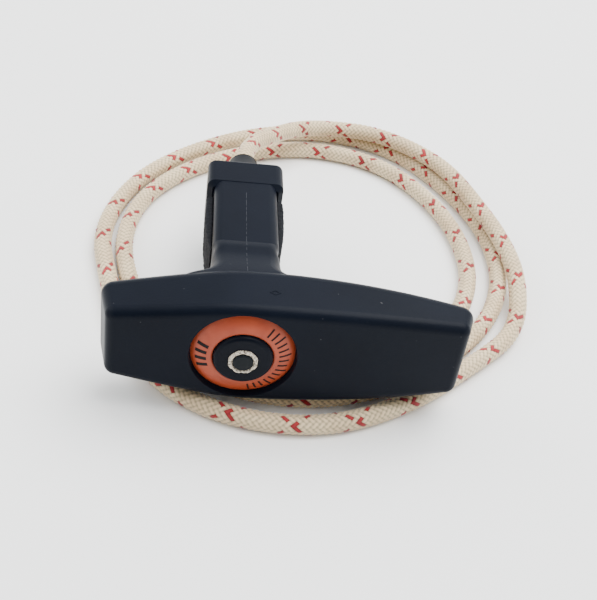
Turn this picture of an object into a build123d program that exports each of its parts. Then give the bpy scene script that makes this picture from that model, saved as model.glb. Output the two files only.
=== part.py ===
from build123d import *
import os
from math import pi, radians, tan

# Pull grip of a recoil starter, with its rope and the damper inside it. Millimetres, +Z up.
# The origin is on the stem's axis, at the shoulder where the nose guide leaves the stem.
# The rope leaves along +Y, the longer arm points along +X, and the palm face looks along -Y.

# Driving dimensions
ROPE_D = 4.5
PALM_Y = -62.0
LEFT_REACH = 31.4
RIGHT_REACH = 50.7
BAR_DEPTH = 13.5
BAR_HALF_HEIGHT = 13.2
LEFT_END_HALF_HEIGHT = 8.6
RIGHT_END_HALF_HEIGHT = 9.3
STEM_HALF_WIDTH = 7.6
STEM_HALF_HEIGHT = 8.8
COLLAR_HALF_WIDTH = 9.3
COLLAR_HALF_HEIGHT = 8.95
COLLAR_LENGTH = 10.5
RING_R = 11.2
BUTTON_R = 6.4
NOSE_SEAT_R = 6.0
NOSE_SEAT_LENGTH = 3.0
NOSE_LENGTH = 11.5
ROPE_INNER_END = 7.0
TRAVEL = 8.0
ROPE_TIP_LENGTH = 8.0

# Fits: a running fit is a sliding one with a close gap, and a free gap keeps two moving pieces apart
RUNNING_GAP = 0.07
FREE_GAP = 0.3
STOP_GAP = 0.1

# Stations and radii of the stepped bore, from the palm face to the nose
RING_FRONT_Y = PALM_Y + 1.6
RING_BACK_Y = PALM_Y + 4.0
RECESS_MOUTH_R = RING_R + 0.4
FLANGE_Y = RING_BACK_Y + STOP_GAP
FLANGE_BACK_Y = FLANGE_Y + 3.0
CHAMBER_END_Y = FLANGE_BACK_Y + TRAVEL + FREE_GAP
CHAMBER_R = 7.7
BORE_R = 5.7
BORE_END_Y = -4.0
SPIGOT_R = 4.0
WASHER_THICK = 1.0
TAIL_END_Y = -43.0

ROPE_R = ROPE_D / 2
ROPE_HOLE_R = ROPE_R + FREE_GAP
FLOOR_Z = -(BAR_HALF_HEIGHT + FREE_GAP + ROPE_D)
LOW = FLOOR_Z + ROPE_R + 0.02
HIGH = LOW + ROPE_D + 0.05


def turned(outline):
    """A ring or plug turned about the stem's axis. The outline's (radius, y) corners are joined by lines."""
    return revolve(make_face(Polyline(outline, close=True)), axis=Axis.Y)


def across_stem(y, half_width, half_height, corner):
    """A rounded rectangle square to the stem's axis."""
    plane = Plane(origin=(0, y, 0), x_dir=(1, 0, 0), z_dir=(0, 1, 0))
    return plane * RectangleRounded(2 * half_width, 2 * half_height, corner)


def bar():
    """The cross bar: a bowed palm face that is tallest at the cap, arms that taper, and a well-rounded finger side."""
    palm_left = (2.4 - LEFT_REACH, PALM_Y + 1.2)
    palm_right = (RIGHT_REACH - 2.8, PALM_Y + 2.6)
    back_left = (-LEFT_REACH, PALM_Y + BAR_DEPTH - 0.6)
    back_middle = (3.0, PALM_Y + BAR_DEPTH + 1.5)
    back_right = (RIGHT_REACH, PALM_Y + BAR_DEPTH - 1.9)
    palm = ThreePointArc(palm_left, (0, PALM_Y), palm_right)
    finger_edge = ThreePointArc(back_right, back_middle, back_left)
    plan = make_face([palm, Line(palm_right, back_right), finger_edge, Line(back_left, palm_left)])

    crown_x, shoulder = -4.0, (26.0, 12.3)
    left_x, right_x = -LEFT_REACH - 1, RIGHT_REACH + 1
    outline = []
    for s in (1, -1):
        crown = (crown_x, s * BAR_HALF_HEIGHT)
        right_end = (right_x, s * RIGHT_END_HALF_HEIGHT)
        outline.append(Line((left_x, s * LEFT_END_HALF_HEIGHT), crown))
        outline.append(ThreePointArc(crown, (shoulder[0], s * shoulder[1]), right_end))
    outline.append(Line((left_x, LEFT_END_HALF_HEIGHT), (left_x, -LEFT_END_HALF_HEIGHT)))
    outline.append(Line((right_x, RIGHT_END_HALF_HEIGHT), (right_x, -RIGHT_END_HALF_HEIGHT)))
    front = make_face(outline)
    front = fillet([v for v in front.vertices() if abs(v.X - crown_x) < 0.01], 60)

    block = extrude(plan, amount=20, both=True) & extrude(Plane.XZ * front, amount=80, both=True)
    end_corners = [
        e for e in block.edges()
        if abs(e.center().X) > 28 and abs(e.center().Z) > 5 and abs((e % 0.5).Y) > 0.7
    ]
    block = fillet(end_corners, 2.4)
    finger_side = [e for e in block.edges() if min((e @ t).Y for t in (0, 0.5, 1)) > back_right[1] - 0.01]
    block = fillet(finger_side, 3.4)
    palm_rim = [
        e for e in block.edges()
        if e.length > 0.2 and all((e @ t).Y < palm_right[1] + 0.1 for t in (0, 0.25, 0.5, 0.75, 1))
    ]
    return fillet(palm_rim, 2.2)


def stem():
    """The stem: a neck that flares into the bar, a straight shank and a wider collar."""
    neck_sections = [
        (-52.0, 16.5, 11.0, 4.2),
        (-49.0, 15.2, 11.6, 4.0),
        (-47.0, 12.2, 11.2, 3.8),
        (-45.0, 9.4, 10.8, 3.4),
        (-42.5, 8.1, 10.2, 3.0),
        (-38.0, 7.65, 9.3, 2.5),
        (-33.0, STEM_HALF_WIDTH, STEM_HALF_HEIGHT, 2.2),
    ]
    neck = loft([across_stem(*s) for s in neck_sections])
    shank = extrude(across_stem(*neck_sections[-1]), amount=-neck_sections[-1][0] - 5)
    collar = extrude(across_stem(-COLLAR_LENGTH, COLLAR_HALF_WIDTH, COLLAR_HALF_HEIGHT, 2.0), amount=COLLAR_LENGTH)
    collar = fillet(collar.faces().sort_by(Axis.Y)[-1].edges(), 1.2)
    collar = chamfer(collar.faces().sort_by(Axis.Y)[0].edges(), 1.2)
    return neck + shank + collar


def stepped_bore():
    """What is cut out of the grip: the cap's recess, the button's chamber, the damper's bore and the nose's hole."""
    return turned([
        (0, PALM_Y - 2),
        (RECESS_MOUTH_R + 0.5, PALM_Y - 2),
        (RECESS_MOUTH_R, PALM_Y),
        (RING_R, RING_FRONT_Y),
        (RING_R, RING_BACK_Y),
        (CHAMBER_R, RING_BACK_Y),
        (CHAMBER_R, CHAMBER_END_Y),
        (BORE_R, CHAMBER_END_Y),
        (BORE_R, BORE_END_Y),
        (SPIGOT_R, BORE_END_Y),
        (SPIGOT_R, 1),
        (0, 1),
    ])


def side_pad(side, body):
    """A soft pad on the stem's side that swells towards the collar and runs out into the neck."""
    crest = [(9.3, -11.2), (9.35, -18), (9.1, -24.5), (8.5, -29.5), (7.5, -33.5)]
    start, end = (6.5, crest[0][1]), (6.5, crest[-1][1])
    outline = make_face([Line(start, crest[0]), Spline(crest), Line(crest[-1], end), Line(end, start)])
    block = extrude(outline, amount=5.2, both=True)
    outer = [e for e in block.edges() if min((e @ t).X for t in (0, 0.5, 1)) > 8.3]
    block = fillet(outer, 1.0)
    if side < 0:
        block = mirror(block, about=Plane.YZ)
    pad = block - body
    return pad.solids().sort_by(SortBy.VOLUME)[-1]


def cap_ring():
    """The domed cap ring. Its rim sits 1.6 below the palm face and its inner lip just above it."""
    hole_r = BUTTON_R + RUNNING_GAP
    lip_y = PALM_Y - 0.2
    profile = [
        Line((hole_r, RING_BACK_Y), (RING_R, RING_BACK_Y)),
        Line((RING_R, RING_BACK_Y), (RING_R, RING_FRONT_Y)),
        ThreePointArc((RING_R, RING_FRONT_Y), (9.3, PALM_Y + 0.4), (hole_r + 0.5, lip_y)),
        ThreePointArc((hole_r + 0.5, lip_y), (hole_r + 0.12, lip_y + 0.12), (hole_r, lip_y + 0.5)),
        Line((hole_r, lip_y + 0.5), (hole_r, RING_BACK_Y)),
    ]
    return revolve(make_face(profile), axis=Axis.Y)


BUTTON_TOP_Y = PALM_Y - 1.2
FLARE_R = 3.1
PIN_R = 2.2
PIN_TOP_Y = BUTTON_TOP_Y - 0.8
PIN_HEAD_Y = PALM_Y - 0.9
PIN_END_Y = PALM_Y + 9.0
PIN_POINT_R = 0.4
FLARE_TOP_Y = BUTTON_TOP_Y - 0.15
FLARE_NECK_Y = PALM_Y + 5.0
FLARE_END_Y = PALM_Y + 10.0


def plunger():
    """The button with its flange behind the cap ring and a tail that slides in the stem's bore."""
    profile = [
        Line((FLARE_R, BUTTON_TOP_Y), (5.5, BUTTON_TOP_Y)),
        ThreePointArc((5.5, BUTTON_TOP_Y), (6.15, BUTTON_TOP_Y + 0.28), (BUTTON_R, BUTTON_TOP_Y + 0.95)),
        Polyline(
            (BUTTON_R, BUTTON_TOP_Y + 0.95),
            (BUTTON_R, FLANGE_Y),
            (CHAMBER_R - FREE_GAP, FLANGE_Y),
            (CHAMBER_R - FREE_GAP, FLANGE_BACK_Y),
            (BORE_R - RUNNING_GAP, FLANGE_BACK_Y),
            (BORE_R - RUNNING_GAP, TAIL_END_Y),
            (ROPE_R, TAIL_END_Y),
            (ROPE_R, FLARE_NECK_Y),
            (FLARE_R, BUTTON_TOP_Y),
        ),
    ]
    return revolve(make_face(profile), axis=Axis.Y)


def core_pin():
    """The headed pin that is driven into the rope's end and splays it."""
    head = PIN_TOP_Y + 0.35
    return turned([
        (0, PIN_TOP_Y),
        (PIN_R - 0.35, PIN_TOP_Y),
        (PIN_R, head),
        (PIN_R, PIN_HEAD_Y),
        (PIN_POINT_R, PIN_END_Y),
        (0, PIN_END_Y),
    ])


def rope_flare():
    """The rope's end, splayed between the pin and the button's countersink."""
    return turned([
        (PIN_R, FLARE_TOP_Y),
        (FLARE_R, FLARE_TOP_Y),
        (FLARE_R, BUTTON_TOP_Y),
        (ROPE_R, FLARE_NECK_Y),
        (ROPE_R, FLARE_END_Y),
        (0, FLARE_END_Y),
        (0, PIN_END_Y),
        (PIN_POINT_R, PIN_END_Y),
        (PIN_R, PIN_HEAD_Y),
    ])


def washer(y, outer_r):
    """A flat washer on the rope."""
    return turned([(ROPE_HOLE_R, y), (outer_r, y), (outer_r, y + WASHER_THICK), (ROPE_HOLE_R, y + WASHER_THICK)])


def damper_sleeve():
    """The damper: an elastomer sleeve with ring grooves, which shortens when the rope is pulled."""
    start, end = TAIL_END_Y + WASHER_THICK, BORE_END_Y - WASHER_THICK
    ribs, crest_r, groove_r, bore_r = 7, 5.3, 4.3, 3.0
    pitch = (end - start) / ribs
    outline = [(bore_r, start)]
    for i in range(ribs):
        y = start + i * pitch
        outline += [(crest_r, y), (crest_r, y + 0.6 * pitch), (groove_r, y + 0.7 * pitch), (groove_r, y + 0.9 * pitch)]
    outline += [(crest_r, end), (bore_r, end)]
    return turned(outline)


def nose_guide():
    """The nose: a spigot pressed into the stem, a round seat, and a taper that guides the rope out."""
    tip_r, mouth_r = 3.7, 3.15
    profile = [
        Polyline(
            (ROPE_HOLE_R, BORE_END_Y),
            (SPIGOT_R, BORE_END_Y),
            (SPIGOT_R, 0),
            (NOSE_SEAT_R, 0),
            (NOSE_SEAT_R, NOSE_SEAT_LENGTH),
        ),
        ThreePointArc((NOSE_SEAT_R, NOSE_SEAT_LENGTH), (4.75, 6.9), (tip_r, NOSE_LENGTH - 0.5)),
        ThreePointArc((tip_r, NOSE_LENGTH - 0.5), (tip_r - 0.1, NOSE_LENGTH - 0.1), (mouth_r, NOSE_LENGTH)),
        ThreePointArc((mouth_r, NOSE_LENGTH), (2.75, NOSE_LENGTH - 0.6), (ROPE_HOLE_R, NOSE_LENGTH - 1.8)),
        Line((ROPE_HOLE_R, NOSE_LENGTH - 1.8), (ROPE_HOLE_R, BORE_END_Y)),
    ]
    return revolve(make_face(profile), axis=Axis.Y)


# The rope's route outside the grip, from the nose to its free end. It makes two and three-quarter loose turns.
# The first turn starts on top of the second, and its outer side comes down beside it.
ROUTE = [
    (0.0, ROPE_INNER_END, 0.0),
    (0.0, 16.2, 0.0),
    (3.2, 26.2, -1.6),
    (9.2, 35.7, -4.8),
    (17.0, 46.4, -8.4),
    (27.8, 52.1, -10.8),
    (39.5, 52.0, HIGH),
    (50.5, 46.2, HIGH),
    (60.5, 35.7, HIGH),
    (66.5, 19.2, HIGH),
    (71.5, 1.7, HIGH),
    (73.0, -13.8, -12.4),
    (70.0, -29.8, LOW),
    (57.0, -42.3, LOW),
    (40.0, -56.8, LOW),
    (21.0, -65.8, LOW),
    (0.5, -65.3, LOW),
    (-16.0, -56.8, LOW),
    (-26.5, -41.3, LOW),
    (-31.8, -20.8, LOW),
    (-36.0, -0.3, LOW),
    (-29.0, 23.2, LOW),
    (-14.0, 40.7, LOW),
    (6.0, 53.7, LOW),
    (28.0, 57.7, LOW),
    (47.0, 50.7, LOW),
    (59.5, 35.2, LOW),
    (68.5, 15.2, LOW),
    (70.5, -5.8, LOW),
    (64.5, -24.8, LOW),
    (51.5, -40.8, LOW),
    (33.5, -53.3, LOW),
    (14.0, -58.3, LOW),
    (-6.0, -54.3, LOW),
    (-19.2, -40.8, LOW),
    (-26.3, -22.8, LOW),
    (-30.2, -2.8, LOW),
    (-25.5, 17.7, LOW),
    (-12.0, 33.7, LOW),
    (6.0, 44.2, LOW),
    (25.0, 47.7, LOW),
    (42.5, 41.7, LOW),
    (54.5, 27.2, LOW),
    (61.0, 9.2, LOW),
    (61.5, -10.3, LOW),
    (54.5, -27.8, LOW),
    (42.0, -40.8, LOW),
    (24.0, -47.8, LOW),
    (5.5, -46.3, LOW),
]
FIRST_SPLIT = 18
SECOND_SPLIT = 35


def corner_radii(route):
    """The arc at each corner: 0.45 of its shorter run, divided by the tangent of half the turn."""
    points = [Vector(*p) for p in route]
    radii = []
    for before, here, after in zip(points, points[1:], points[2:]):
        run_in, run_out = here - before, after - here
        turn = radians(run_in.get_angle(run_out))
        radii.append(0.45 * min(run_in.length, run_out.length) / tan(turn / 2))
    return radii


def middle(a, b):
    return tuple((p + q) / 2 for p, q in zip(a, b))


def rope_tube(points, radii):
    """A round tube along straight runs that are joined by tangent arcs."""
    path = FilletPolyline(points, radius=radii)
    section = Plane(origin=path @ 0, z_dir=path % 0) * Circle(ROPE_R)
    tube = sweep(section, path=path)
    expected = pi * ROPE_R**2 * path.length
    print(f"tube {path.length:.1f} mm long, volume over section times length {tube.volume / expected:.4f}")
    return tube, path.length


def rope_tip(start, end):
    """The free end, melted and rolled hard: straight, with a rounded edge."""
    run = Vector(*end) - Vector(*start)
    plane = Plane(origin=start, z_dir=run.normalized())
    tip = extrude(plane * Circle(ROPE_R), amount=run.length)
    rims = tip.edges().filter_by(GeomType.CIRCLE)
    return fillet(rims.sort_by_distance(Vector(*end))[0], 0.6)


body = bar() + stem() - stepped_bore()
parts = {
    "grip_body": body,
    "side_pad_left": side_pad(-1, body),
    "side_pad_right": side_pad(1, body),
    "cap_ring": cap_ring(),
    "nose_guide": nose_guide(),
    "seat_washer": washer(BORE_END_Y - WASHER_THICK, BORE_R - RUNNING_GAP),
    "damper_sleeve": damper_sleeve(),
    "plunger": plunger(),
    "core_pin": core_pin(),
    "rope_flare": rope_flare(),
    "thrust_washer": washer(TAIL_END_Y, BORE_R - FREE_GAP),
    "rope_inner": turned([(0, FLARE_END_Y), (ROPE_R, FLARE_END_Y), (ROPE_R, ROPE_INNER_END), (0, ROPE_INNER_END)]),
}

radii = corner_radii(ROUTE)
print("rope arc radii", [round(r, 1) for r in radii], "least", round(min(radii), 1))
last_run = Vector(*ROUTE[-1]) - Vector(*ROUTE[-2])
tip_start = tuple(Vector(*ROUTE[-1]) - last_run.normalized() * ROPE_TIP_LENGTH)
first_cut = middle(ROUTE[FIRST_SPLIT], ROUTE[FIRST_SPLIT + 1])
second_cut = middle(ROUTE[SECOND_SPLIT], ROUTE[SECOND_SPLIT + 1])
turns = {
    "rope_turn_1": (ROUTE[:FIRST_SPLIT + 1] + [first_cut], radii[:FIRST_SPLIT]),
    "rope_turn_2": (
        [first_cut] + ROUTE[FIRST_SPLIT + 1:SECOND_SPLIT + 1] + [second_cut],
        radii[FIRST_SPLIT:SECOND_SPLIT],
    ),
    "rope_turn_3": ([second_cut] + ROUTE[SECOND_SPLIT + 1:-1] + [tip_start], radii[SECOND_SPLIT:]),
}
rope_length = ROPE_TIP_LENGTH
for name, (points, arcs) in turns.items():
    parts[name], length = rope_tube(points, arcs)
    rope_length += length
parts["rope_tip"] = rope_tip(tip_start, ROUTE[-1])
print(f"free rope {rope_length:.1f} mm, whole rope {rope_length + ROPE_INNER_END - PALM_Y:.1f} mm, floor at {FLOOR_Z:.2f}")

os.makedirs("parts", exist_ok=True)
for name, solid in parts.items():
    export_step(solid, f"parts/{name}.step")
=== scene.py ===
import bpy
import bmesh
from math import cos, pi, sin
from mathutils import Matrix, Vector, noise


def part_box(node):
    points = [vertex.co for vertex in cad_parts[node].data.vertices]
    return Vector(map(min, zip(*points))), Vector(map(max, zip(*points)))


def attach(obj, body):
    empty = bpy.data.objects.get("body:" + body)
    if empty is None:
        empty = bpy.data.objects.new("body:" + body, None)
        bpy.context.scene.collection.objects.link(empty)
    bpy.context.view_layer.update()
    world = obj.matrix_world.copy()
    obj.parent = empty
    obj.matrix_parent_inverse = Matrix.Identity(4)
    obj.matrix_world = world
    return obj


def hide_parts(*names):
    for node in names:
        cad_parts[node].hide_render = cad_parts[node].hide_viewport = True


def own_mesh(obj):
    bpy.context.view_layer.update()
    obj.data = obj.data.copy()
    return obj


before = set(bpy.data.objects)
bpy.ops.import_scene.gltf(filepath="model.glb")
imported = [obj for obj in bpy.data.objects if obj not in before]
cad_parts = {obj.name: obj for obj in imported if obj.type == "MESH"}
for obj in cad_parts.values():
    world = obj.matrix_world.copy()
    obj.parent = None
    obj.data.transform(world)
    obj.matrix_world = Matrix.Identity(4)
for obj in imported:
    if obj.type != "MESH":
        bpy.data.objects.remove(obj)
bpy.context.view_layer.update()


# Camera.
# It stands in front of the palm face and looks down on it, so that the stem and the rope lie behind.
camera_lens = bpy.data.cameras.new("camera")
camera_lens.sensor_fit = "HORIZONTAL"
camera_lens.sensor_width = 36.0
camera_lens.lens = 66.3
camera_lens.clip_start = 0.01
camera = bpy.data.objects.new("camera", camera_lens)
bpy.context.scene.collection.objects.link(camera)
towards_eye = Vector((-0.1096, -0.7617, 0.6386)).normalized()
eye_right = Vector((0.9915, -0.0381, 0.1247))
eye_right = (eye_right - towards_eye * eye_right.dot(towards_eye)).normalized()
eye_up = towards_eye.cross(eye_right)
camera.matrix_world = Matrix.Translation((-0.0147, -0.2318, 0.1593)) @ Matrix(
    (eye_right, eye_up, towards_eye)
).transposed().to_4x4()
bpy.context.scene.camera = camera


# The pull rope.
# A braided polyamide rope, 4.5 mm thick: twenty strands, ten each way round, each over two and under two.
# One strand each way is a red tracer. It leaves the nose of the grip and lies in loose turns on the table.
MM = 0.001
ROPE_DIAMETER = 4.5 * MM
TIP_LENGTH = 8.0 * MM
ON_TABLE = -0.01573
ON_ROPE = -0.01118
rope_route = [
    (0.0, 0.007, 0.0),
    (0.0, 0.0162, 0.0),
    (0.0032, 0.0262, -0.0016),
    (0.0092, 0.0357, -0.0048),
    (0.017, 0.0464, -0.0084),
    (0.0278, 0.0521, -0.0108),
    (0.0395, 0.052, ON_ROPE),
    (0.0505, 0.0462, ON_ROPE),
    (0.0605, 0.0357, ON_ROPE),
    (0.0665, 0.0192, ON_ROPE),
    (0.0715, 0.0017, ON_ROPE),
    (0.073, -0.0138, -0.0124),
    (0.07, -0.0298, ON_TABLE),
    (0.057, -0.0423, ON_TABLE),
    (0.04, -0.0568, ON_TABLE),
    (0.021, -0.0658, ON_TABLE),
    (0.0005, -0.0653, ON_TABLE),
    (-0.016, -0.0568, ON_TABLE),
    (-0.0265, -0.0413, ON_TABLE),
    (-0.0318, -0.0208, ON_TABLE),
    (-0.036, -0.0003, ON_TABLE),
    (-0.029, 0.0232, ON_TABLE),
    (-0.014, 0.0407, ON_TABLE),
    (0.006, 0.0537, ON_TABLE),
    (0.028, 0.0577, ON_TABLE),
    (0.047, 0.0507, ON_TABLE),
    (0.0595, 0.0352, ON_TABLE),
    (0.0685, 0.0152, ON_TABLE),
    (0.0705, -0.0058, ON_TABLE),
    (0.0645, -0.0248, ON_TABLE),
    (0.0515, -0.0408, ON_TABLE),
    (0.0335, -0.0533, ON_TABLE),
    (0.014, -0.0583, ON_TABLE),
    (-0.006, -0.0543, ON_TABLE),
    (-0.0192, -0.0408, ON_TABLE),
    (-0.0263, -0.0228, ON_TABLE),
    (-0.0302, -0.0028, ON_TABLE),
    (-0.0255, 0.0177, ON_TABLE),
    (-0.012, 0.0337, ON_TABLE),
    (0.006, 0.0442, ON_TABLE),
    (0.025, 0.0477, ON_TABLE),
    (0.0425, 0.0417, ON_TABLE),
    (0.0545, 0.0272, ON_TABLE),
    (0.061, 0.0092, ON_TABLE),
    (0.0615, -0.0103, ON_TABLE),
    (0.0545, -0.0278, ON_TABLE),
    (0.042, -0.0408, ON_TABLE),
    (0.024, -0.0478, ON_TABLE),
    (0.0055, -0.0463, ON_TABLE),
]
rope_curve = bpy.data.curves.new("rope_line", "CURVE")
rope_curve.dimensions = "3D"
rope_curve.resolution_u = 24
rope_spline = rope_curve.splines.new("NURBS")
rope_spline.points.add(len(rope_route) - 1)
for control, place in zip(rope_spline.points, rope_route):
    control.co = (*place, 1.0)
rope_spline.order_u = 3
rope_spline.use_endpoint_u = True
rope_line = bpy.data.objects.new("rope_line", rope_curve)
bpy.context.scene.collection.objects.link(rope_line)
bpy.context.view_layer.update()
rope_line_mesh = bpy.data.meshes.new_from_object(rope_line)
rope_points = [v.co.copy() for v in rope_line_mesh.vertices]
bpy.data.objects.remove(rope_line)

STRANDS_EACH_WAY = 10
BRAID_PITCH = 14.4 * MM
RING_SPACING = BRAID_PITCH / (4 * STRANDS_EACH_WAY)
AROUND = 2 * STRANDS_EACH_WAY
GROOVE_RADIUS = ROPE_DIAMETER / 2 - 0.33 * MM
STRAND_CROWN = 0.38 * MM
STRAND_DIVE = 0.14 * MM
STRAND_SIDE = 0.12 * MM
SECOND_TRACER = 2
TRACERS_CROSS_AT = 0.3 * pi
TRACERS_FACE = Vector((0, -0.72, 0.69))
WOBBLE, WOBBLES_PER_METRE, WOBBLE_LANE = 0.014, 90, 3.1
ROLL, ROLLS_PER_METRE, ROLL_LANE = 0.9, 16, 7.7


def along_the_line(points, spacing, stop_short):
    """Points a fixed distance apart on a line, and the line's direction at each."""
    reached = [0.0]
    for before, after in zip(points, points[1:]):
        reached.append(reached[-1] + (after - before).length)
    places, headings, at = [], [], 0
    for step in range(int((reached[-1] - stop_short) / spacing) + 1):
        distance = step * spacing
        while reached[at + 1] < distance:
            at += 1
        share = (distance - reached[at]) / (reached[at + 1] - reached[at])
        places.append(points[at].lerp(points[at + 1], share))
    for step in range(len(places)):
        before, after = places[max(step - 1, 0)], places[min(step + 1, len(places) - 1)]
        headings.append((after - before).normalized())
    return places, headings


def strand_on_top(a, b):
    """Whether the first family's strand shows in cell (a, b), and not the one that crosses it."""
    return (a + b) % 4 < 2


def crown(a2, b2):
    """How far the braid stands above its grooves at a lattice point, given in half cells."""
    if a2 % 2 and b2 % 2:
        return STRAND_CROWN
    if a2 % 2 == 0 and b2 % 2 == 0:
        return 0.0
    if a2 % 2:
        sides = [strand_on_top(a2 // 2, b2 // 2 - 1), strand_on_top(a2 // 2, b2 // 2)]
    else:
        sides = [not strand_on_top(a2 // 2 - 1, b2 // 2), not strand_on_top(a2 // 2, b2 // 2)]
    return STRAND_CROWN if all(sides) else STRAND_DIVE if any(sides) else STRAND_SIDE


ring_centres, ring_headings = along_the_line(rope_points, RING_SPACING, TIP_LENGTH)
rope_mesh = bpy.data.meshes.new("pull_rope")
weave = bmesh.new()
weave_uv = weave.loops.layers.uv.new("strands")
weave_crown = weave.verts.layers.float.new("crown")
rings = []
for step, (centre, heading) in enumerate(zip(ring_centres, ring_headings)):
    outward = (TRACERS_FACE - heading * TRACERS_FACE.dot(heading)).normalized()
    sideways = heading.cross(outward)
    distance = step * RING_SPACING
    wobble = 1 + WOBBLE * noise.noise(Vector((distance * WOBBLES_PER_METRE, WOBBLE_LANE, 0)))
    roll = ROLL * noise.noise(Vector((distance * ROLLS_PER_METRE, ROLL_LANE, 0))) - TRACERS_CROSS_AT
    ring = []
    for k in range(AROUND):
        turn = 2 * pi * (k + (step % 2) / 2) / AROUND + roll
        a2, b2 = k - step // 2, k + (step + 1) // 2
        height = crown(a2, b2)
        reach = outward * cos(turn) + sideways * sin(turn)
        vert = weave.verts.new(centre + reach * (GROOVE_RADIUS + height) * wobble)
        vert[weave_crown] = height / STRAND_CROWN
        ring.append(vert)
    rings.append(ring)
for step in range(1, len(rings) - 1):
    odd = step % 2
    for k in range(AROUND):
        corners = [
            (rings[step][k], (0, 0)),
            (rings[step - 1][(k + odd) % AROUND], (1, 0)),
            (rings[step][(k + 1) % AROUND], (1, 1)),
            (rings[step + 1][(k + odd) % AROUND], (0, 1)),
        ]
        face = weave.faces.new([vert for vert, _ in corners])
        face.smooth = True
        a2, b2 = k - step // 2, k + (step + 1) // 2
        first = strand_on_top(a2 // 2, b2 // 2)
        carrier = a2 // 2 % STRANDS_EACH_WAY if first else b2 // 2 % STRANDS_EACH_WAY
        face.material_index = int(carrier == (0 if first else SECOND_TRACER))
        for loop, (_, (more_a, more_b)) in zip(face.loops, corners):
            across, along = (a2 + more_a, b2 + more_b) if first else (b2 + more_b, a2 + more_a)
            loop[weave_uv].uv = (across / 2, along / 2)
for end, inner, odd in ((rings[0], rings[1], 0), (rings[-1], rings[-2], (len(rings) - 1) % 2)):
    for k in range(AROUND):
        weave.faces.new((end[k], end[(k + 1) % AROUND], inner[(k + odd) % AROUND]))
    weave.faces.new(end)
bmesh.ops.recalc_face_normals(weave, faces=weave.faces)
weave.to_mesh(rope_mesh)
weave.free()
pull_rope = bpy.data.objects.new("pull_rope", rope_mesh)
bpy.context.scene.collection.objects.link(pull_rope)


def braided_yarn(name, light, dark):
    """Yarn of a braid: filaments along each strand, a soft sheen, the slight soiling of use, and painted
    shade with soiling in the grooves between strands.
    """
    yarn = bpy.data.materials.new(name)
    yarn.use_nodes = True
    nodes, links = yarn.node_tree.nodes, yarn.node_tree.links
    shader = nodes["Principled BSDF"]
    shader.inputs["Roughness"].default_value = 0.62
    shader.inputs["Sheen Weight"].default_value = 0.25
    shader.inputs["Sheen Roughness"].default_value = 0.45
    shader.inputs["Specular IOR Level"].default_value = 0.3
    place = nodes.new("ShaderNodeTexCoord")
    soiling = nodes.new("ShaderNodeTexNoise")
    soiling.inputs["Scale"].default_value = 130.0
    soiling.inputs["Detail"].default_value = 4.0
    links.new(place.outputs["Object"], soiling.inputs["Vector"])
    shades = nodes.new("ShaderNodeValToRGB")
    shades.color_ramp.elements[0].position = 0.30
    shades.color_ramp.elements[0].color = (*dark, 1)
    shades.color_ramp.elements[1].position = 0.62
    shades.color_ramp.elements[1].color = (*light, 1)
    links.new(soiling.outputs["Fac"], shades.inputs["Fac"])
    # Painted shade and soiling: the base colour darkens from the strand crowns down into the grooves between
    # them.
    crowns = nodes.new("ShaderNodeAttribute")
    crowns.attribute_name = "crown"
    groove_shade_and_soil = nodes.new("ShaderNodeMapRange")
    groove_shade_and_soil.inputs["From Max"].default_value = 0.7
    groove_shade_and_soil.inputs["To Min"].default_value = 0.42
    links.new(crowns.outputs["Fac"], groove_shade_and_soil.inputs["Value"])
    grooves = nodes.new("ShaderNodeVectorMath")
    grooves.operation = "SCALE"
    links.new(shades.outputs["Color"], grooves.inputs["Vector"])
    links.new(groove_shade_and_soil.outputs["Result"], grooves.inputs["Scale"])
    links.new(grooves.outputs["Vector"], shader.inputs["Base Color"])
    strands = nodes.new("ShaderNodeUVMap")
    strands.uv_map = "strands"
    filaments = nodes.new("ShaderNodeTexWave")
    filaments.bands_direction = "X"
    filaments.inputs["Scale"].default_value = 1.9
    filaments.inputs["Distortion"].default_value = 1.2
    filaments.inputs["Detail"].default_value = 2.0
    links.new(strands.outputs["UV"], filaments.inputs["Vector"])
    relief = nodes.new("ShaderNodeBump")
    relief.inputs["Strength"].default_value = 0.35
    relief.inputs["Distance"].default_value = 0.06 * MM
    links.new(filaments.outputs["Fac"], relief.inputs["Height"])
    links.new(relief.outputs["Normal"], shader.inputs["Normal"])
    return yarn


cream_yarn = braided_yarn("cream_yarn", (0.78, 0.62, 0.385), (0.66, 0.49, 0.29))
red_yarn = braided_yarn("red_tracer_yarn", (0.40, 0.022, 0.026), (0.22, 0.012, 0.015))
rope_mesh.materials.append(cream_yarn)
rope_mesh.materials.append(red_yarn)
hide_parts("rope_turn_1", "rope_turn_2", "rope_turn_3")
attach(pull_rope, "rope")


# The rope's free end.
# It is melted over a flame and rolled hard, so that it can be threaded into a rotor.
# The fibre has gone brown and glassy.
def melted_end():
    material = bpy.data.materials.new("melted_fibre")
    material.use_nodes = True
    nodes, links = material.node_tree.nodes, material.node_tree.links
    shader = nodes["Principled BSDF"]
    shader.inputs["Roughness"].default_value = 0.3
    shader.inputs["Coat Weight"].default_value = 0.3
    place = nodes.new("ShaderNodeTexCoord")
    scorch = nodes.new("ShaderNodeTexNoise")
    scorch.inputs["Scale"].default_value = 500.0
    scorch.inputs["Detail"].default_value = 5.0
    links.new(place.outputs["Object"], scorch.inputs["Vector"])
    shades = nodes.new("ShaderNodeValToRGB")
    shades.color_ramp.elements[0].position = 0.35
    shades.color_ramp.elements[0].color = (0.20, 0.11, 0.05, 1)
    shades.color_ramp.elements[1].position = 0.65
    shades.color_ramp.elements[1].color = (0.62, 0.48, 0.30, 1)
    links.new(scorch.outputs["Fac"], shades.inputs["Fac"])
    links.new(shades.outputs["Color"], shader.inputs["Base Color"])
    lumps = nodes.new("ShaderNodeBump")
    lumps.inputs["Strength"].default_value = 0.6
    lumps.inputs["Distance"].default_value = 0.2 * MM
    links.new(scorch.outputs["Fac"], lumps.inputs["Height"])
    links.new(lumps.outputs["Normal"], shader.inputs["Normal"])
    return material


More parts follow.
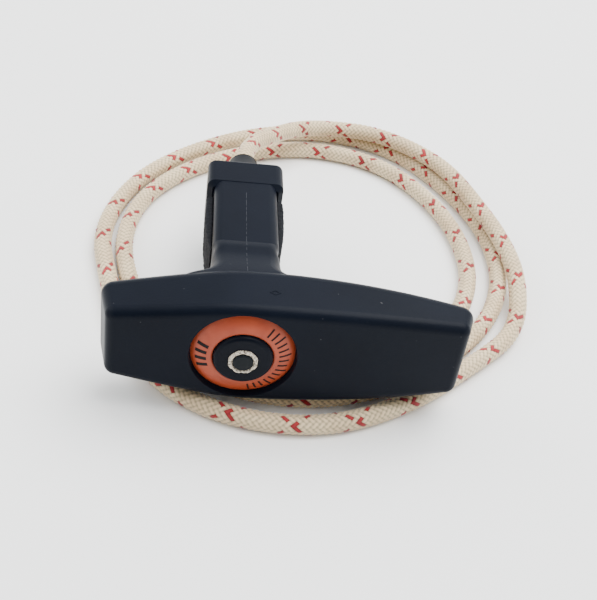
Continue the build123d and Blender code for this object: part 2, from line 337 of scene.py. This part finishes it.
def finish_node(name, material):
    """A piece that keeps its moulded or turned shape as made takes its finish here."""
    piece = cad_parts[name]
    piece.data.materials.clear()
    piece.data.materials.append(material)


finish_node("rope_tip", melted_end())
finish_node("rope_inner", cream_yarn)


# The grip body.
# Injection moulded in black glass-filled polyamide: a cross bar, a stem and a collar in one piece.
# It is spark-eroded to a fine grain, and use has left a few pale scuffs.
def moulded_polymer(name, base, scuff, roughness, grain_scale, grain_depth):
    """Moulded polymer with a fine grain, cloudy variation in its black, and a few pale scuffs."""
    material = bpy.data.materials.new(name)
    material.use_nodes = True
    nodes, links = material.node_tree.nodes, material.node_tree.links
    shader = nodes["Principled BSDF"]
    shader.inputs["Specular IOR Level"].default_value = 0.05
    place = nodes.new("ShaderNodeTexCoord")
    clouds = nodes.new("ShaderNodeTexNoise")
    clouds.inputs["Scale"].default_value = 60.0
    clouds.inputs["Detail"].default_value = 6.0
    links.new(place.outputs["Object"], clouds.inputs["Vector"])
    blacks = nodes.new("ShaderNodeValToRGB")
    blacks.color_ramp.elements[0].position = 0.3
    blacks.color_ramp.elements[0].color = (*[c * 0.86 for c in base], 1)
    blacks.color_ramp.elements[1].position = 0.7
    blacks.color_ramp.elements[1].color = (*[c * 1.14 for c in base], 1)
    links.new(clouds.outputs["Fac"], blacks.inputs["Fac"])
    specks = nodes.new("ShaderNodeTexNoise")
    specks.inputs["Scale"].default_value = 900.0
    specks.inputs["Detail"].default_value = 2.0
    links.new(place.outputs["Object"], specks.inputs["Vector"])
    where = nodes.new("ShaderNodeValToRGB")
    where.color_ramp.elements[0].position = 0.76
    where.color_ramp.elements[1].position = 0.82
    links.new(specks.outputs["Fac"], where.inputs["Fac"])
    worn = nodes.new("ShaderNodeMix")
    worn.data_type = "RGBA"
    worn.inputs["B"].default_value = (*scuff, 1)
    links.new(where.outputs["Color"], worn.inputs["Factor"])
    links.new(blacks.outputs["Color"], worn.inputs["A"])
    links.new(worn.outputs["Result"], shader.inputs["Base Color"])
    gloss = nodes.new("ShaderNodeMapRange")
    gloss.inputs["To Min"].default_value = roughness - 0.06
    gloss.inputs["To Max"].default_value = roughness + 0.06
    links.new(clouds.outputs["Fac"], gloss.inputs["Value"])
    links.new(gloss.outputs["Result"], shader.inputs["Roughness"])
    grain = nodes.new("ShaderNodeTexNoise")
    grain.inputs["Scale"].default_value = grain_scale
    grain.inputs["Detail"].default_value = 3.0
    links.new(place.outputs["Object"], grain.inputs["Vector"])
    relief = nodes.new("ShaderNodeBump")
    relief.inputs["Strength"].default_value = 0.5
    relief.inputs["Distance"].default_value = grain_depth
    links.new(grain.outputs["Fac"], relief.inputs["Height"])
    links.new(relief.outputs["Normal"], shader.inputs["Normal"])
    return material


grip_black = moulded_polymer(
    "grip_black", (0.0036, 0.0052, 0.0096), (0.10, 0.10, 0.105), 0.38, 2600.0, 0.05 * MM
)
finish_node("grip_body", grip_black)


def mesh_piece(name, verts, faces, material, body):
    """A small piece from its points and faces, with its finish and the body it moves with."""
    mesh = bpy.data.meshes.new(name)
    mesh.from_pydata(verts, [], faces)
    shape = bmesh.new()
    shape.from_mesh(mesh)
    bmesh.ops.recalc_face_normals(shape, faces=shape.faces)
    shape.to_mesh(mesh)
    shape.free()
    mesh.materials.append(material)
    piece = bpy.data.objects.new(name, mesh)
    bpy.context.scene.collection.objects.link(piece)
    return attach(piece, body)


def on_surface(node, start, direction):
    """Where a straight line from start first meets a piece, and the surface's direction there."""
    found, place, normal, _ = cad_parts[node].ray_cast(Vector(start), Vector(direction))
    if not found:
        raise ValueError(f"nothing of {node} lies that way from {start}")
    return place, normal


# The parting line.
# A hair of flash where the mould halves met, down the middle of the stem's upper face.
# It is rubbed pale and broken by wear.
FLASH_FRONT, FLASH_BACK = -46.5 * MM, -12.5 * MM
FLASH_WIDTH, FLASH_HEIGHT = 0.14 * MM, 0.05 * MM
FLASH_STEPS = 115
FLASH_DRIFT, FLASH_DRIFTS_PER_METRE = 0.05 * MM, 700
FLASH_SUNK = 0.03 * MM
SHORTEST_RUN, LONGER_RUN = 3, 5
SHORTEST_GAP, LONGER_GAP = 2, 4
ABOVE_GRIP = 0.03


def flash_run(first, last, verts, faces):
    """One unbroken stretch of the flash, as a low ridge."""
    base = len(verts)
    for step in range(first, last + 1):
        y = FLASH_FRONT + (FLASH_BACK - FLASH_FRONT) * step / FLASH_STEPS
        place, normal = on_surface("grip_body", (0, y, ABOVE_GRIP), (0, 0, -1))
        drift = Vector((FLASH_DRIFT * noise.noise(Vector((0, y * FLASH_DRIFTS_PER_METRE, 0))), 0, 0))
        side = Vector((FLASH_WIDTH / 2, 0, 0))
        sunk = place + drift - normal * FLASH_SUNK
        verts += [sunk - side, place + drift + normal * FLASH_HEIGHT, sunk + side]
    for step in range(last - first):
        low = base + 3 * step
        faces += [
            (low, low + 1, low + 4, low + 3),
            (low + 1, low + 2, low + 5, low + 4),
            (low + 2, low, low + 3, low + 5),
        ]
    end = base + 3 * (last - first)
    faces += [(base, base + 1, base + 2), (end, end + 2, end + 1)]


flash_verts, flash_faces, flash_start = [], [], 0
while flash_start < FLASH_STEPS - SHORTEST_RUN:
    stretch = SHORTEST_RUN + int(LONGER_RUN * abs(noise.noise(Vector((flash_start * 0.37, 1.3, 0)))) * 2)
    flash_run(flash_start, min(flash_start + stretch, FLASH_STEPS), flash_verts, flash_faces)
    gap_noise = abs(noise.noise(Vector((flash_start * 0.91, 5.2, 0))))
    flash_start += stretch + SHORTEST_GAP + int(LONGER_GAP * gap_noise * 2)
worn_flash = moulded_polymer(
    "worn_flash", (0.060, 0.063, 0.072), (0.30, 0.30, 0.31), 0.6, 2600.0, 0.03 * MM
)
mesh_piece("parting_line", flash_verts, flash_faces, worn_flash, "grip")


# The gate mark.
# A small diamond left in the moulding on the bar's upper face, in front of the stem.
# The polymer was fed into the mould here and the sprue cut off.
GATE_X, GATE_Y = 5.6 * MM, -55.7 * MM
GATE_HALF_LENGTH, GATE_HALF_WIDTH = 1.35, 0.95
GATE_PROFILE = ((1.0, -0.03), (0.86, 0.10), (0.58, 0.10), (0.5, -0.03))
gate_verts, gate_faces = [], []
for corner in range(4):
    turn = corner * pi / 2
    reach = Vector((cos(turn) * GATE_HALF_LENGTH, sin(turn) * GATE_HALF_WIDTH, 0)) * MM
    for share, lift in GATE_PROFILE:
        x, y = GATE_X + reach.x * share, GATE_Y + reach.y * share
        place, normal = on_surface("grip_body", (x, y, ABOVE_GRIP), (0, 0, -1))
        gate_verts.append(place + normal * lift * MM)
for corner in range(4):
    following = (corner + 1) % 4
    for edge in range(4):
        nxt = (edge + 1) % 4
        gate_faces.append((4 * corner + edge, 4 * corner + nxt, 4 * following + nxt, 4 * following + edge))
mesh_piece("gate_mark", gate_verts, gate_faces, grip_black, "grip")


# The side pads.
# Two strips of rough black elastomer, one on each side of the stem.
# They are moulded over the body so that fingers don't slip.
PAD_CELL = 0.28 * MM
PAD_ROUGHNESS = 0.18 * MM
LUMPS_PER_METRE, GRAINS_PER_METRE = 1500, 3200
GRAIN_SHARE = 0.5
DEEPEST_PIT = -0.3


def rough_elastomer():
    material = bpy.data.materials.new("rough_elastomer")
    material.use_nodes = True
    nodes, links = material.node_tree.nodes, material.node_tree.links
    shader = nodes["Principled BSDF"]
    shader.inputs["Roughness"].default_value = 0.82
    shader.inputs["Specular IOR Level"].default_value = 0.12
    place = nodes.new("ShaderNodeTexCoord")
    pits = nodes.new("ShaderNodeTexVoronoi")
    pits.inputs["Scale"].default_value = 1600.0
    links.new(place.outputs["Object"], pits.inputs["Vector"])
    shades = nodes.new("ShaderNodeValToRGB")
    shades.color_ramp.elements[0].color = (0.004, 0.0045, 0.006, 1)
    shades.color_ramp.elements[1].color = (0.014, 0.015, 0.018, 1)
    links.new(pits.outputs["Distance"], shades.inputs["Fac"])
    links.new(shades.outputs["Color"], shader.inputs["Base Color"])
    relief = nodes.new("ShaderNodeBump")
    relief.inputs["Strength"].default_value = 0.7
    relief.inputs["Distance"].default_value = 0.1 * MM
    links.new(pits.outputs["Distance"], relief.inputs["Height"])
    links.new(relief.outputs["Normal"], shader.inputs["Normal"])
    return material


pad_black = rough_elastomer()
for side in ("left", "right"):
    pad = bpy.data.objects.new(f"rough_pad_{side}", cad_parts[f"side_pad_{side}"].data.copy())
    bpy.context.scene.collection.objects.link(pad)
    cells = pad.modifiers.new("cells", "REMESH")
    cells.mode = "VOXEL"
    cells.voxel_size = PAD_CELL
    bpy.context.view_layer.update()
    graph = bpy.context.evaluated_depsgraph_get()
    pad_mesh = bpy.data.meshes.new_from_object(pad.evaluated_get(graph))
    pad.modifiers.clear()
    pad.data = pad_mesh
    for vert in pad_mesh.vertices:
        lump = noise.noise(vert.co * LUMPS_PER_METRE) + GRAIN_SHARE * noise.noise(vert.co * GRAINS_PER_METRE)
        vert.co += vert.normal * max(lump, DEEPEST_PIT) * PAD_ROUGHNESS
    pad_mesh.materials.clear()
    pad_mesh.materials.append(pad_black)
    for face in pad_mesh.polygons:
        face.use_smooth = True
    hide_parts(f"side_pad_{side}")
    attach(pad, "grip")


# The cap ring.
# A domed ring in terracotta polymer, pressed into the dished recess of the palm face.
# It keeps the button in. Its print is plain bars: fifteen narrow on one side, four broad on the other.
def cap_polymer():
    material = bpy.data.materials.new("terracotta_polymer")
    material.use_nodes = True
    nodes, links = material.node_tree.nodes, material.node_tree.links
    shader = nodes["Principled BSDF"]
    shader.inputs["Roughness"].default_value = 0.42
    shader.inputs["Specular IOR Level"].default_value = 0.3
    place = nodes.new("ShaderNodeTexCoord")
    handling = nodes.new("ShaderNodeTexNoise")
    handling.inputs["Scale"].default_value = 220.0
    handling.inputs["Detail"].default_value = 5.0
    links.new(place.outputs["Object"], handling.inputs["Vector"])
    shades = nodes.new("ShaderNodeValToRGB")
    shades.color_ramp.elements[0].position = 0.32
    shades.color_ramp.elements[0].color = (0.27, 0.036, 0.010, 1)
    shades.color_ramp.elements[1].position = 0.68
    shades.color_ramp.elements[1].color = (0.35, 0.054, 0.018, 1)
    links.new(handling.outputs["Fac"], shades.inputs["Fac"])
    links.new(shades.outputs["Color"], shader.inputs["Base Color"])
    relief = nodes.new("ShaderNodeBump")
    relief.inputs["Strength"].default_value = 0.3
    relief.inputs["Distance"].default_value = 0.03 * MM
    links.new(handling.outputs["Fac"], relief.inputs["Height"])
    links.new(relief.outputs["Normal"], shader.inputs["Normal"])
    return material


finish_node("cap_ring", cap_polymer())
PRINT_HEIGHT = 0.04 * MM
IN_FRONT_OF_RING = -0.08
NARROW_BARS, NARROW_BARS_FROM, NARROW_BARS_APART = 15, -78, 9.4
BROAD_BARS, BROAD_BARS_FROM, BROAD_BARS_APART = 4, 163, 12


def print_bar(angle, inner, outer, width, verts, faces):
    """One printed bar, square to the ring, that follows the dome."""
    base, steps = len(verts), 6
    for step in range(steps + 1):
        reach = inner + (outer - inner) * step / steps
        for edge in (-0.5, 0.5):
            across = edge * width
            x = reach * cos(angle) - across * sin(angle)
            z = reach * sin(angle) + across * cos(angle)
            place, normal = on_surface("cap_ring", (x, IN_FRONT_OF_RING, z), (0, 1, 0))
            verts += [place - normal * PRINT_HEIGHT, place + normal * PRINT_HEIGHT]
    for step in range(steps):
        low = base + 4 * step
        faces += [
            (low + 1, low + 3, low + 7, low + 5),
            (low, low + 4, low + 6, low + 2),
            (low, low + 1, low + 5, low + 4),
            (low + 2, low + 6, low + 7, low + 3),
        ]
    end = base + 4 * steps
    faces += [(base, base + 2, base + 3, base + 1), (end, end + 1, end + 3, end + 2)]


print_verts, print_faces = [], []
for number in range(NARROW_BARS):
    angle = (NARROW_BARS_FROM + NARROW_BARS_APART * number) * pi / 180
    outer = (9.9 if number % 3 else 10.3) * MM
    print_bar(angle, 7.7 * MM, outer, 0.42 * MM, print_verts, print_faces)
for number in range(BROAD_BARS):
    angle = (BROAD_BARS_FROM + BROAD_BARS_APART * number) * pi / 180
    print_bar(angle, 7.8 * MM, 10.2 * MM, 0.85 * MM, print_verts, print_faces)
ring_print = moulded_polymer("ring_print", (0.012, 0.010, 0.010), (0.05, 0.04, 0.035), 0.5, 2600.0, 0.02 * MM)
mesh_piece("ring_print", print_verts, print_faces, ring_print, "grip")


# The button.
# A smooth black plug that slides in the grip against the damper.
# The rope passes through it and is splayed open in its front.
button_black = moulded_polymer(
    "button_black", (0.0035, 0.0045, 0.0080), (0.05, 0.05, 0.06), 0.28, 1200.0, 0.02 * MM
)
finish_node("plunger", button_black)


# The splayed rope end.
# The rope's strands, opened into a scalloped ring and wedged between the button and the core pin.
FLARE_LOBES = 8
FLARE_RADIUS = 2.72 * MM
FLARE_STEPS, FLARE_SIDES = 128, 12
FRAY, FRAY_REACH = 0.06, 9
LOBE_SHARPNESS = 0.6
LEAST_THICK, LOBE_THICK = 0.24, 0.22
LOBE_OUT, GROOVE_IN = 0.10, 0.05
flare_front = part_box("rope_flare")[0][1]
flare_verts, flare_faces = [], []
for step in range(FLARE_STEPS):
    angle = 2 * pi * step / FLARE_STEPS
    lobe = abs(sin(FLARE_LOBES * angle / 2)) ** LOBE_SHARPNESS
    fray = FRAY * noise.noise(Vector((cos(angle) * FRAY_REACH, sin(angle) * FRAY_REACH, 0)))
    thick = (LEAST_THICK + LOBE_THICK * lobe + fray) * MM
    middle = FLARE_RADIUS + (LOBE_OUT * lobe - GROOVE_IN) * MM
    for side in range(FLARE_SIDES):
        turn = 2 * pi * side / FLARE_SIDES
        reach = middle + cos(turn) * thick
        flare_verts.append((cos(angle) * reach, flare_front - sin(turn) * thick, sin(angle) * reach))
for step in range(FLARE_STEPS):
    for side in range(FLARE_SIDES):
        here, there = step * FLARE_SIDES, (step + 1) % FLARE_STEPS * FLARE_SIDES
        nxt = (side + 1) % FLARE_SIDES
        flare_faces.append((here + side, here + nxt, there + nxt, there + side))


def splayed_fibre():
    material = bpy.data.materials.new("splayed_fibre")
    material.use_nodes = True
    nodes, links = material.node_tree.nodes, material.node_tree.links
    shader = nodes["Principled BSDF"]
    shader.inputs["Roughness"].default_value = 0.7
    place = nodes.new("ShaderNodeTexCoord")
    fibres = nodes.new("ShaderNodeTexNoise")
    fibres.inputs["Scale"].default_value = 2200.0
    fibres.inputs["Detail"].default_value = 3.0
    links.new(place.outputs["Object"], fibres.inputs["Vector"])
    shades = nodes.new("ShaderNodeValToRGB")
    shades.color_ramp.elements[0].position = 0.38
    shades.color_ramp.elements[0].color = (0.16, 0.13, 0.10, 1)
    shades.color_ramp.elements[1].position = 0.56
    shades.color_ramp.elements[1].color = (0.66, 0.58, 0.46, 1)
    links.new(fibres.outputs["Fac"], shades.inputs["Fac"])
    links.new(shades.outputs["Color"], shader.inputs["Base Color"])
    relief = nodes.new("ShaderNodeBump")
    relief.inputs["Strength"].default_value = 0.8
    relief.inputs["Distance"].default_value = 0.12 * MM
    links.new(fibres.outputs["Fac"], relief.inputs["Height"])
    links.new(relief.outputs["Normal"], shader.inputs["Normal"])
    return material


fibre = splayed_fibre()
finish_node("rope_flare", fibre)
flare = mesh_piece("splayed_strands", flare_verts, flare_faces, fibre, "rope")
for face in flare.data.polygons:
    face.use_smooth = True


# The core pin.
# A tapered plug, worn dark grey, driven into the middle of the rope's end to lock its strands.
pin_grey = moulded_polymer("pin_grey", (0.011, 0.013, 0.015), (0.12, 0.11, 0.10), 0.42, 1500.0, 0.05 * MM)
finish_node("core_pin", pin_grey)


# The nose guide.
# A tapered black bush pressed into the stem's end, with a rounded mouth so that the rope doesn't chafe.
nose_black = moulded_polymer(
    "nose_black", (0.0042, 0.0052, 0.0072), (0.10, 0.10, 0.11), 0.5, 2000.0, 0.04 * MM
)
finish_node("nose_guide", nose_black)


def damper_elastomer():
    material = bpy.data.materials.new("damper_elastomer")
    material.use_nodes = True
    nodes, links = material.node_tree.nodes, material.node_tree.links
    shader = nodes["Principled BSDF"]
    shader.inputs["Roughness"].default_value = 0.7
    place = nodes.new("ShaderNodeTexCoord")
    bloom = nodes.new("ShaderNodeTexNoise")
    bloom.inputs["Scale"].default_value = 400.0
    links.new(place.outputs["Object"], bloom.inputs["Vector"])
    shades = nodes.new("ShaderNodeValToRGB")
    shades.color_ramp.elements[0].color = (0.19, 0.15, 0.04, 1)
    shades.color_ramp.elements[1].color = (0.31, 0.25, 0.07, 1)
    links.new(bloom.outputs["Fac"], shades.inputs["Fac"])
    links.new(shades.outputs["Color"], shader.inputs["Base Color"])
    return material


def washer_steel():
    material = bpy.data.materials.new("zinc_plated_steel")
    material.use_nodes = True
    nodes, links = material.node_tree.nodes, material.node_tree.links
    shader = nodes["Principled BSDF"]
    shader.inputs["Metallic"].default_value = 1.0
    place = nodes.new("ShaderNodeTexCoord")
    spangle = nodes.new("ShaderNodeTexNoise")
    spangle.inputs["Scale"].default_value = 700.0
    links.new(place.outputs["Object"], spangle.inputs["Vector"])
    shades = nodes.new("ShaderNodeValToRGB")
    shades.color_ramp.elements[0].color = (0.50, 0.50, 0.51, 1)
    shades.color_ramp.elements[1].color = (0.70, 0.70, 0.68, 1)
    links.new(spangle.outputs["Fac"], shades.inputs["Fac"])
    links.new(shades.outputs["Color"], shader.inputs["Base Color"])
    dull = nodes.new("ShaderNodeMapRange")
    dull.inputs["To Min"].default_value = 0.25
    dull.inputs["To Max"].default_value = 0.45
    links.new(spangle.outputs["Fac"], dull.inputs["Value"])
    links.new(dull.outputs["Result"], shader.inputs["Roughness"])
    return material


damper = bpy.data.objects.new("ribbed_damper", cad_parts["damper_sleeve"].data.copy())
bpy.context.scene.collection.objects.link(damper)
damper.data.materials.clear()
damper.data.materials.append(damper_elastomer())
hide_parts("damper_sleeve")
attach(damper, "grip")
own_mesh(damper)
steel = washer_steel()
finish_node("seat_washer", steel)
finish_node("thrust_washer", steel)


# The table and the light.
# A pale, matt table top under soft light from a wide window above, with a weaker one to the left.
# A dark card behind the eye keeps the palm face from shining.
TABLE_Z = -0.018
TABLE_REACH = 3
DARK_CARD = 0.5
SQUARE = ((-1, -1), (1, -1), (1, 1), (-1, 1))


def table_top():
    material = bpy.data.materials.new("table_top")
    material.use_nodes = True
    nodes, links = material.node_tree.nodes, material.node_tree.links
    shader = nodes["Principled BSDF"]
    shader.inputs["Roughness"].default_value = 0.75
    shader.inputs["Specular IOR Level"].default_value = 0.2
    place = nodes.new("ShaderNodeTexCoord")
    paper = nodes.new("ShaderNodeTexNoise")
    paper.inputs["Scale"].default_value = 12.0
    links.new(place.outputs["Object"], paper.inputs["Vector"])
    shades = nodes.new("ShaderNodeValToRGB")
    shades.color_ramp.elements[0].color = (0.93, 0.935, 0.925, 1)
    shades.color_ramp.elements[1].color = (0.96, 0.965, 0.955, 1)
    links.new(paper.outputs["Fac"], shades.inputs["Fac"])
    links.new(shades.outputs["Color"], shader.inputs["Base Color"])
    return material


table_mesh = bpy.data.meshes.new("table")
table_corners = [(x * TABLE_REACH, y * TABLE_REACH, TABLE_Z) for x, y in SQUARE]
table_mesh.from_pydata(table_corners, [], [(0, 1, 2, 3)])
table_mesh.materials.append(table_top())
table = bpy.data.objects.new("table", table_mesh)
bpy.context.scene.collection.objects.link(table)


def soft_window(name, place, target, size, power):
    light = bpy.data.lights.new(name, "AREA")
    light.shape = "SQUARE"
    light.size = size
    light.energy = power
    window = bpy.data.objects.new(name, light)
    window.location = place
    window.rotation_euler = (Vector(target) - Vector(place)).to_track_quat("-Z", "Y").to_euler()
    bpy.context.scene.collection.objects.link(window)


soft_window("window_above", (0.30, 0.16, 0.80), (0.01, 0, 0), 0.8, 17.0)
soft_window("window_left", (-0.6, 0.1, 0.45), (0, 0, 0), 0.5, 2.5)
card_mesh = bpy.data.meshes.new("dark_card")
card_corners = [(x * DARK_CARD, y * DARK_CARD, 0) for x, y in SQUARE]
card_mesh.from_pydata(card_corners, [], [(0, 1, 2, 3)])
card_black = bpy.data.materials.new("card_black")
card_black.use_nodes = True
card_shader = card_black.node_tree.nodes["Principled BSDF"]
card_shader.inputs["Base Color"].default_value = (0.02, 0.02, 0.02, 1)
card_shader.inputs["Roughness"].default_value = 1.0
card_mesh.materials.append(card_black)
dark_card = bpy.data.objects.new("dark_card", card_mesh)
dark_card.location = (-0.05, -0.75, 0.40)
dark_card.rotation_euler = Vector((-0.05, -0.75, 0.35)).to_track_quat("Z", "Y").to_euler()
dark_card.visible_camera = False
bpy.context.scene.collection.objects.link(dark_card)
room = bpy.data.worlds.new("room")
room.use_nodes = True
sky = room.node_tree.nodes["Background"]
sky.inputs["Color"].default_value = (0.97, 0.985, 1.0, 1)
sky.inputs["Strength"].default_value = 1.74
bpy.context.scene.world = room
